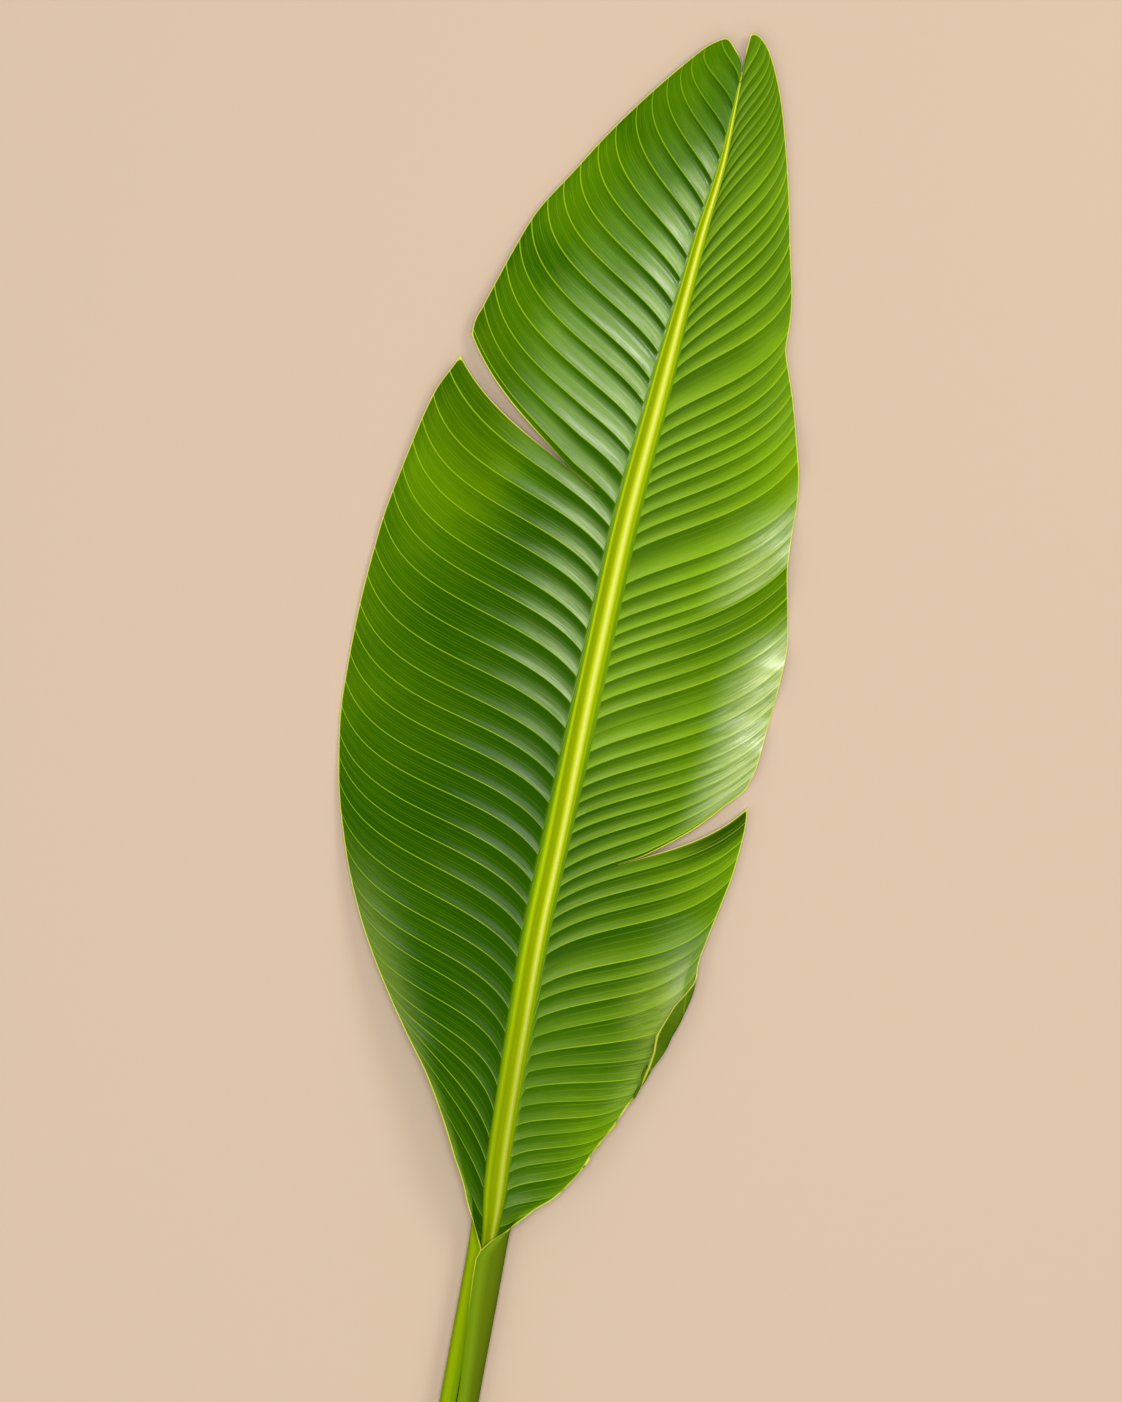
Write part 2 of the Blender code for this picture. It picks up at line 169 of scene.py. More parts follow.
# Veins, as (start y, end y, angle at the start, angle at the end), in degrees above straight across
LEFT_VEINS = [
    (-185, -185, 0, 0), (-40, -40, 0, 0), (-10, -8, 8, 8), (3, 12, 30, 30), (20, 60, 58, 52),
    (44, 103, 58, 46), (64, 115, 63, 48), (84, 127, 57, 46), (105, 156, 51, 56), (125, 176, 44, 58),
    (145, 200, 42, 60), (186, 240, 42, 61), (247, 302, 38, 60), (309, 371, 41, 68), (350, 410, 39, 65),
    (368, 429.5, 37, 51.5), (391, 455, 39, 68), (411, 477, 40, 73), (432, 500, 42, 80), (473, 534, 45, 88),
    (515, 571, 47, 92), (540, 588, 50, 96), (560, 599, 54, 104), (582, 608, 68, 116),
    (NOTCH, LEFT_LOBE[1], 90, 52),
]
RIGHT_VEINS = [
    (-185, -185, 0, 0), (-40, -40, 0, 0), (-10, -9, 0, 0), (3, 9, 20, 20), (12, 26, 42, 50),
    (27, 52, 42, 72), (47, 76, 34, 70), (67, 101, 28, 72), (88, 134, 28, 74), (108, 162, 37, 74),
    (128, 183, 42, 68), (148, 208, 46, 61), (169, 230, 45, 57), (177, 239.2, 44.5, 56),
    (189, 252, 42.5, 56), (210, 270, 39, 56), (250, 315, 36, 58), (312, 374, 35, 60), (353, 417, 39, 68),
    (373, 436, 40, 72), (414, 472, 45, 74), (435, 496, 50, 82), (455, 522, 56, 86), (475, 545, 62, 90),
    (518, 583, 76, 98), (560, 606, 84, 106), (582, 614, 88, 104), (NOTCH, RIGHT_LOBE[1], 99, 88),
]
left_opening = smooth_line([(368, 11), (391, 6), (411, 2), (432, 0)])
right_opening = smooth_line([(177, 9.0), (189, 4.5), (210, 1), (230, 0)])


def flat_margin(side, y):
    """Margin of the blade laid flat: on the right, past the outline by what the fold takes up."""
    if side < 0:
        return left_margin(y)
    band = curl(y)
    return right_margin(y) + band - CURL_RADIUS * np.sin(np.minimum(band / CURL_RADIUS, math.pi / 2))


def half_plan(side, start, share, above):
    """Plan of one half of the blade laid flat: x and y for each row's start and each share of the vein."""
    veins = LEFT_VEINS if side < 0 else RIGHT_VEINS
    opening = left_opening if side < 0 else right_opening
    end = smooth_line([(v[0], v[1]) for v in veins])(start)
    leave = np.radians(smooth_line([(v[0], v[2]) for v in veins])(start))
    arrive = np.radians(smooth_line([(v[0], v[3]) for v in veins])(start))
    base_x = midrib(start) + side * channel(start)
    tip_x = flat_margin(side, end) + np.where(end < 30, midrib(end) * ramp(30, 0, end), 0)
    reach = 1.04 * np.hypot(tip_x - base_x, end - start)
    t = share
    h0, h1 = 2 * t ** 3 - 3 * t ** 2 + 1, t ** 3 - 2 * t ** 2 + t
    h2, h3 = 3 * t ** 2 - 2 * t ** 3, t ** 3 - t ** 2
    x = h0 * base_x + h1 * reach * side * np.cos(leave) + h2 * tip_x + h3 * reach * side * np.cos(arrive)
    y = h0 * start + h1 * reach * np.sin(leave) + h2 * end + h3 * reach * np.sin(arrive)
    apart = end + opening(start)
    if side < 0:
        opened = np.maximum(0, (t - 0.28) / 0.72) ** 0.95
    else:
        opened = np.clip((t - 0.42) / 0.44, 0, 1) ** 1.1
    x = x + np.where(above, (flat_margin(side, apart) - tip_x) * opened, 0)
    y = y + np.where(above, (apart - end) * opened, 0)
    away = np.abs(x - base_x)
    sweep = VEIN_SWEEP * ramp(10, 40, start) * ramp(596, 560, start)
    y = y + sweep * (1 - np.exp(-away / 3.0)) * (1 - t) ** 2 * t ** 0.2
    lobe_x, lobe_y = LEFT_LOBE if side < 0 else RIGHT_LOBE
    inward_x, inward_y = (0.0, -1.0) if side < 0 else (0.15, -1.0)
    near = LOBE_ROUNDING * np.exp(-((x - lobe_x) ** 2 + (y - lobe_y) ** 2) / 4.0)
    return x + near * inward_x, y + near * inward_y


def half_height(side, x, y):
    """Height of the upper face of the spread blade over the surface."""
    across = np.abs(x - midrib(y))
    edge = (left_height if side < 0 else right_height)(y)
    share = np.minimum(1.2, across / (left_span if side < 0 else right_span)(y))
    height = crest(y) + (edge - crest(y)) * share ** (2.1 - 0.9 * ramp(110, 30, y))
    if side > 0:
        wave = ramp(235, 275, y) * ramp(470, 405, y) * share ** 3
        height = height + WAVE_HEIGHT * wave * np.cos(2 * math.pi * waves_past(y))
    return height


def fold_margin(x, y, z):
    """The lower right margin folded up and over, where the flat blade reaches past the fold."""
    band = curl(y)
    fold = flat_margin(1, y) - band
    past = np.where(band > 0, np.maximum(0, x - fold), 0)
    turn = np.minimum(past / CURL_RADIUS, CURL_TURN)
    flap = np.maximum(0, past - CURL_TURN * CURL_RADIUS)
    new_x = x - past + CURL_RADIUS * np.sin(turn) + flap * math.cos(CURL_TURN)
    return new_x, z + CURL_RADIUS * (1 - np.cos(turn)) + flap * math.sin(CURL_TURN)


def stalk_wall(side, share, y, outer):
    """Wall of the closed stalk in cross section, with the right lip lying over the left one."""
    last = LEFT_LIP if side < 0 else RIGHT_LIP + RIGHT_LIP_LAP * ramp(-80, -10, y)
    degrees = CHANNEL_ANGLE + (last - CHANNEL_ANGLE) * share ** 0.72
    radius = STALK_RADIUS - (LIP_TUCK * ramp(116, 146, degrees) if side < 0 else 0)
    if not outer:
        radius = radius - STALK_WALL - STALK_RIB * ramp(150, 20, degrees)
    angle = np.radians(degrees)
    return side * radius * np.sin(angle), STALK_RADIUS - radius * np.cos(angle)


def closing(y):
    """How far the halves of the blade have closed into the stalk at this place."""
    return ramp(30, -10, y)


# Rows run along the veins, in groups a little uneven in width. Columns go from the left to the right margin
group_starts = []
for k in range(ROW_GROUPS + 1):
    uneven = 0.1 * math.sin(1.7 * k) * math.sin(0.9 * k)
    group_starts.append(LOWEST_ROW + (NOTCH - LOWEST_ROW) * (k + uneven) / ROW_GROUPS)
group_starts[0], group_starts[-1] = LOWEST_ROW, NOTCH
starts = [(y, -1.0) for y in np.linspace(STALK_END, -LOWEST_ROW, 52)]
for k in range(ROW_GROUPS):
    gap = group_starts[k + 1] - group_starts[k]
    for n in range(ROWS_TO_A_GROUP):
        starts.append((group_starts[k] + gap * n / ROWS_TO_A_GROUP, k + n / ROWS_TO_A_GROUP))
starts.append((NOTCH, float(ROW_GROUPS)))
for tear in (LEFT_TEAR, RIGHT_TEAR):
    nearest = min(range(len(starts)), key=lambda k: abs(starts[k][0] - tear))
    passed = starts[nearest][1]
    starts[nearest:nearest + 1] = [(tear - TEAR_KERF / 2, passed), (tear + TEAR_KERF / 2, passed)]
start = np.array([s[0] for s in starts])[:, None]
groups_passed = np.array([s[1] for s in starts])[:, None]

# Shares of the way to the margin at each column: closer together by the midrib, in the fold and at the edge
left_steps = [0, 0.018, 0.04, 0.07, 0.11, 0.15, 0.19, 0.23, 0.27, 0.31, 0.35, 0.39, 0.43, 0.47, 0.51, 0.55]
left_steps += [0.59, 0.63, 0.67, 0.71, 0.75, 0.79, 0.83, 0.87, 0.91, 0.945, 0.975, 1]
right_steps = [0, 0.02, 0.045, 0.08, 0.12, 0.16, 0.2, 0.24, 0.28, 0.32, 0.36, 0.4, 0.44, 0.48, 0.52, 0.56]
right_steps += [0.6, 0.64, 0.68, 0.72, 0.76, 0.8, 0.84, 0.87, 0.9, 0.925, 0.95, 0.975, 1]
fold_steps = [0, 0.03, 0.07, 0.13, 0.2, 0.27, 0.34, 0.41, 0.48, 0.55, 0.62, 0.69, 0.75, 0.8, 0.83, 0.845]
fold_steps += [0.86, 0.872, 0.884, 0.896, 0.908, 0.92, 0.932, 0.944, 0.956, 0.968, 0.98, 0.99, 1]
channel_steps = np.linspace(-1, 1, 15)
sides = np.array([-1] * (len(left_steps) - 1) + [0] * len(channel_steps) + [1] * (len(right_steps) - 1))
steps = np.array(left_steps[:0:-1] + list(channel_steps) + right_steps[1:])
in_channel = sides == 0
first = len(left_steps) - 1
last = first + len(channel_steps) - 1


def vein_place(side):
    """Count of veins passed at each row, a whole number on a vein, where the blade has its hollows."""
    gap = LEFT_VEIN_GAP if side < 0 else RIGHT_VEIN_GAP
    at, count = LEFT_KNOWN_VEIN if side < 0 else RIGHT_KNOWN_VEIN
    place = count + (start - at) / gap
    return place + 0.07 * np.sin(1.9 * place) * np.sin(0.6 * place)


def ribs(side, share, y0):
    """Rise of the blade between its sunken veins: steep by the vein on the left, even on the right."""
    place = vein_place(side)
    number = np.floor(place)
    past = place % 1
    uneven = 1 + 0.16 * np.sin(2.4 * number + side) + 0.10 * np.sin(5.1 * number + 2 * side)
    twin = 4 * (2 * past % 1) * (1 - 2 * past % 1)
    if side < 0:
        crest_at = 0.44 + 0.20 * ramp(360, 430, y0)
        rise = np.minimum(past / crest_at, (1 - past) / (1 - crest_at))
        main = 1.2 * rise - 0.2 * rise ** 2 - 0.5
        twin_part = 0.14 + 0.10 * ramp(250, 420, y0) + 0.08 * np.sin(3.7 * number + side)
        fade = LEFT_RISE * ((1 - share) ** 1.25 + 0.05 * share) * (1 + 0.5 * ramp(360, 430, y0))
    else:
        main = 4 * past * (1 - past) - 0.5
        twin_part = 0.15 + 0.40 * np.maximum(ramp(-0.9, -0.8, np.sin(3.7 * number)), ramp(150, 110, y0))
        fade = RIGHT_RISE * ((1 - share) ** 0.8 + 0.05 * share) * (0.6 + 0.4 * ramp(60, 180, y0))
    fade = fade * ramp(0, 0.06, share) * ramp(0, 30, y0) * ramp(600, 540, y0)
    return (main * (1 - twin_part) * uneven + (twin - 0.5) * twin_part) * fade


# The upper face, spread out: first the two halves with their tears, waves and fold, then the channel
shape = (len(starts), len(steps))
spread = np.zeros(shape + (3,))
around = np.zeros(shape)
for side in (-1, 1):
    for j in np.where(sides == side)[0]:
        share = steps[j] * np.ones((len(starts), 1))
        if side > 0:
            bend = ramp(40, 58, start) * ramp(135, 118, start)
            share = share * (1 - bend) + bend * fold_steps[right_steps.index(steps[j])]
        above = start > (LEFT_TEAR if side < 0 else RIGHT_TEAR)
        x, y = half_plan(side, start, share, above)
        z = half_height(side, x, y) + ribs(side, share, start)
        if side > 0:
            x, z = fold_margin(x, y, z)
        spread[:, j] = np.hstack([x, y, z])
        around[:, j] = share[:, 0]
for j in np.where(in_channel)[0]:
    y = start[:, 0]
    spread[:, j, 0] = midrib(y) + steps[j] * channel(y)
    spread[:, j, 1] = y
    spread[:, j, 2] = crest(y) - channel_depth(y) * (1 - steps[j] ** 2)

# The under face: a wall's thickness below the blade, and the keel under the channel
lengthwise = np.gradient(spread, axis=0)
crosswise = np.gradient(spread, axis=1)
for tear, columns in ((LEFT_TEAR, slice(0, first)), (RIGHT_TEAR, slice(last + 1, None))):
    edge = int(np.searchsorted(start[:, 0], tear)) - 1
    lengthwise[edge, columns] = spread[edge, columns] - spread[edge - 1, columns]
    lengthwise[edge + 1, columns] = spread[edge + 2, columns] - spread[edge + 1, columns]
normal = np.cross(crosswise, lengthwise)
normal /= np.linalg.norm(normal, axis=2, keepdims=True)
thick = BLADE_THICKNESS + BASE_THICKENING * ramp(0.25, 0, around)
below = spread - normal * thick[:, :, None]
for j in np.where(in_channel)[0]:
    y = start[:, 0]
    inside = np.maximum(0, 1 - (channel(y) / keel_width(y) * steps[j]) ** 2)
    below[:, j, 0], below[:, j, 1] = spread[:, j, 0], y
    below[:, j, 2] = crest(y) - CHANNEL_FLOOR - keel_depth(y) * np.sqrt(inside)

# Towards the base both faces close into the stalk
upper = spread.copy()
lower = below.copy()
for j in range(len(steps)):
    for face, outer in ((upper, False), (lower, True)):
        y = spread[:, j, 1]
        w = closing(y)
        if in_channel[j]:
            angle = math.radians(CHANNEL_ANGLE * steps[j])
            radius = STALK_RADIUS if outer else STALK_RADIUS - CHANNEL_WALL
            cross = np.full(len(y), radius * math.sin(angle))
            height = np.full(len(y), STALK_RADIUS - radius * math.cos(angle))
            if outer:
                height = np.where(height < STALK_FLAT, 0.0, height)
        else:
            cross, height = stalk_wall(sides[j], np.full(len(y), steps[j]), y, outer)
        target = np.stack([midrib(y) + cross, y, height], axis=1)
        face[:, j] = face[:, j] * (1 - w[:, None]) + target * w[:, None]

# Measures that the surface's colours follow: distance from the free edges, and the width of a vein's strip
is_torn = {}
for tear, side in ((LEFT_TEAR, -1), (RIGHT_TEAR, 1)):
    is_torn[side] = int(np.searchsorted(start[:, 0], tear)) - 1
edge_points = [upper[:, 0], upper[:, -1], upper[-1]]
for side, row in is_torn.items():
    begins = LEFT_TEAR_START if side < 0 else RIGHT_TEAR_START
    columns = np.where((sides == side) & (steps >= begins - 1e-6))[0]
    edge_points += [upper[row, columns], upper[row + 1, columns]]
tree_points = []
for line in edge_points:
    for a, b in zip(line[:-1], line[1:]):
        parts = max(1, int(np.linalg.norm(b - a) / EDGE_STEP))
        tree_points += [a + (b - a) * k / parts for k in range(parts)]
tree = kdtree.KDTree(len(tree_points))
for index, point in enumerate(tree_points):
    tree.insert(point, index)
tree.balance()
from_edge = np.array([[min(EDGE_REACH, tree.find(p)[2]) for p in line] for line in upper])
reach = np.linalg.norm(np.cross(normal, crosswise / np.linalg.norm(crosswise, axis=2, keepdims=True))
                       * np.gradient(spread, axis=0), axis=2)
from_edge = from_edge + 0.45 * ramp(0.6, 0.3, around) * (sides != 0)
pitch = np.full(shape, 10.0)
signed = np.where(in_channel, steps * 0.5, 0)[None, :] + np.zeros(shape)
vein_count = np.where(in_channel, groups_passed, 0) + np.zeros(shape)
for side in (-1, 1):
    chosen = sides == side
    signed[:, chosen] = side * (0.5 + around[:, chosen])
    vein_count[:, chosen] = np.where(groups_passed < 0, groups_passed, vein_place(side))
    turn_step = np.gradient(vein_place(side)[:, 0])
    pitch[:, chosen] = reach[:, chosen] / np.maximum(turn_step, 0.02)[:, None]

# One grid of the upper face, cut along the tears and thickened downwards, takes its points from the two faces
bm = bmesh.new()
rows_up, columns_up = shape[0] - 1, shape[1] - 1
row_layer = bm.verts.layers.int.new("row")
column_layer = bm.verts.layers.int.new("column")
measures = {name: bm.verts.layers.float.new(name) for name in ("vein", "across", "edge", "under", "pitch")}
bmesh.ops.create_grid(bm, x_segments=columns_up, y_segments=rows_up, size=1.0)
for vert in bm.verts:
    vert[row_layer] = round((vert.co.y + 1) / 2 * rows_up)
    vert[column_layer] = round((vert.co.x + 1) / 2 * columns_up)
torn = []
for face in bm.faces:
    i = min(vert[row_layer] for vert in face.verts)
    j = min(vert[column_layer] for vert in face.verts)
    if i == is_torn[-1] and j < first and steps[j + 1] >= LEFT_TEAR_START - 1e-6 and sides[j + 1] < 0:
        torn.append(face)
    if i == is_torn[1] and j > last and steps[j] >= RIGHT_TEAR_START - 1e-6:
        torn.append(face)
bmesh.ops.delete(bm, geom=torn, context="FACES")
bmesh.ops.triangulate(bm, faces=bm.faces[:], quad_method="FIXED")
made = bmesh.ops.extrude_face_region(bm, geom=bm.faces[:])
under = {item for item in made["geom"] if isinstance(item, bmesh.types.BMVert)}
for vert in bm.verts:
    i, j = vert[row_layer], vert[column_layer]
    vert.co = Vector((lower if vert in under else upper)[i, j]) * MM
    vert[measures["vein"]] = vein_count[i, j]
    vert[measures["across"]] = signed[i, j]
    vert[measures["edge"]] = from_edge[i, j]
    vert[measures["under"]] = 1.0 if vert in under else 0.0
    vert[measures["pitch"]] = pitch[i, j]
bmesh.ops.recalc_face_normals(bm, faces=bm.faces[:])
box_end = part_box("leaf")[1]
leaf_end = [max(vert.co[k] for vert in bm.verts) for k in range(2)]
shift = Vector((box_end[0] - leaf_end[0], box_end[1] - leaf_end[1], 0))
bmesh.ops.translate(bm, verts=bm.verts[:], vec=shift)
leaf_mesh = bpy.data.meshes.new("leaf_blade_and_stalk")
bm.to_mesh(leaf_mesh)
bm.free()
leaf_mesh.shade_smooth()
leaf_mesh.set_sharp_from_angle(angle=math.radians(62))
leaf = bpy.data.objects.new("leaf_blade_and_stalk", leaf_mesh)
bpy.context.scene.collection.objects.link(leaf)


class Socket:
    """A node's output in one material, with shader maths written as plain expressions."""

    def __init__(self, tree, out):
        self.tree = tree
        self.out = out

    def node(self, kind, settings=(), inputs=(), output=0):
        made = self.tree.nodes.new(kind)
        for name, value in dict(settings).items():
            setattr(made, name, value)
        for name, value in dict(inputs).items():
            if isinstance(value, Socket):
                self.tree.links.new(value.out, made.inputs[name])
            else:
                made.inputs[name].default_value = value
        return Socket(self.tree, made.outputs[output])

    def math(self, operation, *values, clamp=False):
        return self.node("ShaderNodeMath", {"operation": operation, "use_clamp": clamp}, enumerate(values))

    def __add__(self, other):
        return self.math("ADD", self, other)

    def __radd__(self, other):
        return self.math("ADD", other, self)

    def __sub__(self, other):
        return self.math("SUBTRACT", self, other)

    def __rsub__(self, other):
        return self.math("SUBTRACT", other, self)

    def __mul__(self, other):
        return self.math("MULTIPLY", self, other)

    def __truediv__(self, other):
        return self.math("DIVIDE", self, other)

    def size(self):
        return self.math("ABSOLUTE", self)

    def floor(self):
        return self.math("FLOOR", self)

    def fraction(self):
        return self.math("FRACT", self)

    def sine(self):
        return self.math("SINE", self)

    def clamp(self):
        return self.math("ADD", self, 0.0, clamp=True)

    def step(self, low, high):
        """Smooth step from 0 at low to 1 at high."""
        return self.node("ShaderNodeMapRange", {"interpolation_type": "SMOOTHSTEP"},
                         {"Value": self, "From Min": low, "From Max": high})

    def near(self, centre, reach, full):
        """1 as far as full from the centre, fading smoothly to 0 at the reach."""
        return (self - centre).size().step(reach, full)

    def mix(self, colour_a, colour_b):
        """Colour a where this is 0, and colour b where it is 1."""
        made = self.tree.nodes.new("ShaderNodeMix")
        made.data_type = "RGBA"
        self.tree.links.new(self.out, made.inputs[0])
        for slot, colour in ((6, colour_a), (7, colour_b)):
            if isinstance(colour, Socket):
                self.tree.links.new(colour.out, made.inputs[slot])
            else:
                made.inputs[slot].default_value = (*colour, 1.0)
        return Socket(self.tree, made.outputs[2])

    def bands(self, stops):
        """Colours one after another, each at its own place from 0 to 1."""
        made = self.tree.nodes.new("ShaderNodeValToRGB")
        self.tree.links.new(self.out, made.inputs["Fac"])
        elements = made.color_ramp.elements
        while len(elements) < len(stops):
            elements.new(0.5)
        for element, (at, colour) in zip(elements, stops):
            element.position = at
            element.color = (*colour, 1.0)
        return Socket(self.tree, made.outputs["Color"])

    def noise(self, vector, scale, detail=2.0, roughness=0.5):
        return self.node("ShaderNodeTexNoise", {"noise_dimensions": "3D"},
                         {"Vector": vector, "Scale": scale, "Detail": detail, "Roughness": roughness})

    def vector(self, x, y, z):
        return self.node("ShaderNodeCombineXYZ", (), {"X": x, "Y": y, "Z": z})


material = bpy.data.materials.new("leaf skin")
material.use_nodes = True
nodes = material.node_tree
shader = nodes.nodes["Principled BSDF"]
skin = Socket(nodes, None)
place = skin.node("ShaderNodeTexCoord", output="Object")


def measure(name):
    """A measure kept at each point of the leaf's mesh."""
    return skin.node("ShaderNodeAttribute", {"attribute_name": name}, output="Fac")


# Places on the leaf: veins passed from the base, the turn from one vein to the next, the share of the way
# from midrib to margin, and metres along the leaf from its middle towards the tip
vein = measure("vein")
across = measure("across")
edge = measure("edge")
below_face = measure("under")
pitch_mm = measure("pitch")
number = vein.floor()
turn = vein - number
share = (across.size() - 0.5).clamp()
along = skin.node("ShaderNodeSeparateXYZ", (), {"Vector": place}, output="Y")
right_side = across.step(-0.02, 0.02)
left_side = 1.0 - right_side
on_blade = across.size().step(0.49, 0.53)
in_blade = vein.step(-0.2, 0.6)
on_stalk = vein.step(3.0, -0.6)
upper_lobe = along.step(0.13, 0.20)
past_lobe = 1.0 - along.step(0.245, 0.285) * share.step(0.12, 0.35) * 0.65
tip = along.step(0.315, 0.365)
off_base = along.step(-0.13, 0.06) * 0.75 + 0.25
off_stalk_end = along.step(-0.262, -0.225)
LEFT_TEAR_VEIN = 28.6
RIGHT_TEAR_VEIN = 10.86
WAVE_VEIN = 18.0

# Fine lines that run with the veins, clouds of lighter and darker green, and faint cross grain
fine = skin.noise(skin.vector(vein * 16.0, share * 5.0 + right_side * 9.0, 0.0), 1.0, 3.0, 0.6)
silk = skin.noise(skin.vector(vein * 46.0, share * 12.0 + right_side * 9.0, 0.0), 1.0, 2.0, 0.6)
strips = skin.noise(skin.vector(number * 7.3, share * 1.4 + right_side * 5.0, 0.0), 1.0, 1.0)
clouds = skin.noise(place, 17.0, 2.0, 0.5)
broad = skin.noise(place, 8.0, 1.0, 0.5)
grain = skin.noise(place, 900.0, 2.0, 0.6)
bloom = skin.noise(place, 40.0, 3.0, 0.6)
streaks = (fine - 0.5) * 2.4 + (silk - 0.5) * 1.2 + 0.9

DARK_GREEN = (0.022, 0.085, 0.0004)
MID_GREEN = (0.058, 0.155, 0.0006)
LIGHT_GREEN = (0.130, 0.260, 0.0010)
WARM_GREEN = (0.300, 0.560, 0.006)
TIP_GREEN = (0.030, 0.105, 0.0003)
PAINTED_SHADE_GREEN = (0.012, 0.062, 0.0002)
SHADE_GREEN = (0.016, 0.062, 0.0002)
DEEP_SHADE_GREEN = (0.012, 0.055, 0.0002)
CAST_SHADOW_GREEN = (0.008, 0.034, 0.0002)
LIT_GREEN = (0.250, 0.420, 0.020)
SHEEN_GREEN = (0.290, 0.450, 0.120)
MIDRIB_SHINE = (0.420, 0.580, 0.220)
RIM_SHINE = (0.350, 0.440, 0.080)
WAVE_SHINE = (0.540, 0.640, 0.260)
FOLD_SHINE = (0.520, 0.580, 0.300)
VEIN_LIME = (0.270, 0.430, 0.008)
SECOND_VEIN_LIME = (0.220, 0.360, 0.020)
FINE_VEIN_LIME = (0.190, 0.320, 0.002)
MARGIN_YELLOW = (0.560, 0.570, 0.070)

# Green of the tissue, cloudy, a little lighter towards the margins and in the upper right
tone = clouds * 0.55 + broad * 0.45 + (strips - 0.5) * 0.25 + (fine - 0.5) * 0.30 + (silk - 0.5) * 0.16
tone = tone + right_side * 0.01 + share * share * 0.08
tone = tone + share.step(0.2, 0.6) * along.step(0.02, 0.22) * 0.04
tone = tone + right_side * (along.step(-0.01, 0.05) * 0.09 - along.step(0.25, 0.31) * 0.15)
lobe_light = share.step(0.35, 0.6) * along.step(0.08, 0.16) * along.step(0.32, 0.20)
outer_dark = along.step(0.10, 0.16) * share.step(0.9, 1.0)
tone = tone + left_side * (lobe_light - outer_dark) * 0.10
green = tone.step(0.36, 0.60).mix(DARK_GREEN, MID_GREEN)
green = tone.step(0.58, 0.82).mix(green, LIGHT_GREEN)

# On the right nearly every strip has a second vein halfway. Each strip has painted light just past its lower
# vein and painted shade towards the next one, and a painted sheen makes the lit part pale beside the midrib
# on the left.
paired = (number * 3.7).sine().step(-0.9, -0.8)
paired = paired.math("MAXIMUM", paired, along.step(-0.066, -0.106)) * right_side
strip = turn + paired * ((turn * 2.0).fraction() - turn)
left_shade = (strip - upper_lobe * 0.35).step(0.10, 0.60) * share.step(0.95, 0.15)
right_shade = strip.step(-0.1, 0.95) * share.step(1.5, 0.2)
shaded = left_shade + right_side * (right_shade - left_shade)
calm = 1.0 - right_side * along.step(-0.06, -0.13) * 0.45
lit = right_side * (1.0 - strip) * share.step(1.5, 0.1) * calm * on_blade
painted_sheen = (strip - upper_lobe * 0.45).step(0.45, 0.05) * (share - upper_lobe * 0.2).step(0.55, 0.08)
painted_sheen = painted_sheen * past_lobe * left_side * (upper_lobe * 0.16 + 0.22) * (1.0 - tip * 0.7)
# Painted shade over the left half below its upper lobe
green = (left_side * along.step(0.22, 0.06) * 0.55).mix(green, PAINTED_SHADE_GREEN)
green = (lit * 0.66).mix(green, LIT_GREEN)
green = (painted_sheen * off_base * on_blade).mix(green, SHEEN_GREEN)
green = (tip * 0.45 * on_blade).mix(green, TIP_GREEN)
# A painted highlight on the blade beside the fold
beside_fold = share.step(0.66, 0.83) * share.step(0.880, 0.845) * along.near(-0.079, 0.030, 0.008)
green = (right_side * beside_fold * 0.42).mix(green, FOLD_SHINE)
green = (shaded * (right_side * 0.10 + 0.80) * calm * on_blade).mix(green, SHADE_GREEN)

# Painted shade round the left tear and by the base, and painted highlights on the rims, the midrib and the
# waves
near_tear = left_side * vein.near(LEFT_TEAR_VEIN, 4.5, 0.5) * share.step(0.35, 0.75)
lower_left = left_side * along.step(0.06, -0.02) * share.step(0.80, 0.50)
lower_right = right_side * along.step(0.00, -0.03) * share.step(0.85, 0.45)
darker = near_tear * 0.58 + lower_left * 0.34 + lower_right * 0.30
green = (darker * on_blade).mix(green, DEEP_SHADE_GREEN)
green = (right_side * along.step(-0.01, 0.05) * on_blade * 0.07).mix(green, WARM_GREEN)
# Painted highlights along the lower rims
left_rim = left_side * along.step(-0.02, -0.08) * share.step(0.55, 0.90)
right_rim = right_side * along.step(-0.05, -0.09) * along.step(-0.15, -0.12) * share.step(0.40, 0.75)
green = ((left_rim + right_rim * 1.7) * streaks * 0.22).mix(green, RIM_SHINE)
# A painted highlight in streaks beside the midrib on the left
by_midrib = left_side * along.step(-0.02, 0.13) * along.step(0.36, 0.31) * share.step(0.38, 0.08) * on_blade
by_midrib = by_midrib * (1.0 - vein.near(LEFT_TEAR_VEIN + 1.0, 2.6, 0.6) * 0.55)
green = (by_midrib * streaks * strip.step(0.80, 0.10) * 0.48).mix(green, MIDRIB_SHINE)
# Painted highlights on the waves of the right margin
upper_wave = vein.step(WAVE_VEIN - 0.05, WAVE_VEIN + 0.20) * vein.step(20.8, 18.9) * share.step(0.42, 0.80)
lower_wave = vein.step(RIGHT_TEAR_VEIN, 11.4) * vein.step(16.9, 15.2) * share.step(0.54, 0.88)
waves = upper_wave + lower_wave * 1.70
green = (right_side * waves * streaks * (1.3 - strip * 0.8) * 0.38).mix(green, WAVE_SHINE)
# Painted shade between the two waves
below_wave = vein.step(15.8, 17.2) * vein.step(WAVE_VEIN + 0.15, WAVE_VEIN) * share.step(0.20, 0.60)
green = (right_side * below_wave * 0.42).mix(green, PAINTED_SHADE_GREEN)
# A painted shadow on the lower lobe where the blade above the right tear overhangs it
lapped_shadow = vein.step(9.9, 10.6) * vein.step(RIGHT_TEAR_VEIN, RIGHT_TEAR_VEIN - 0.02)
green = (right_side * lapped_shadow * share.step(0.45, 0.85) * 0.85).mix(green, CAST_SHADOW_GREEN)

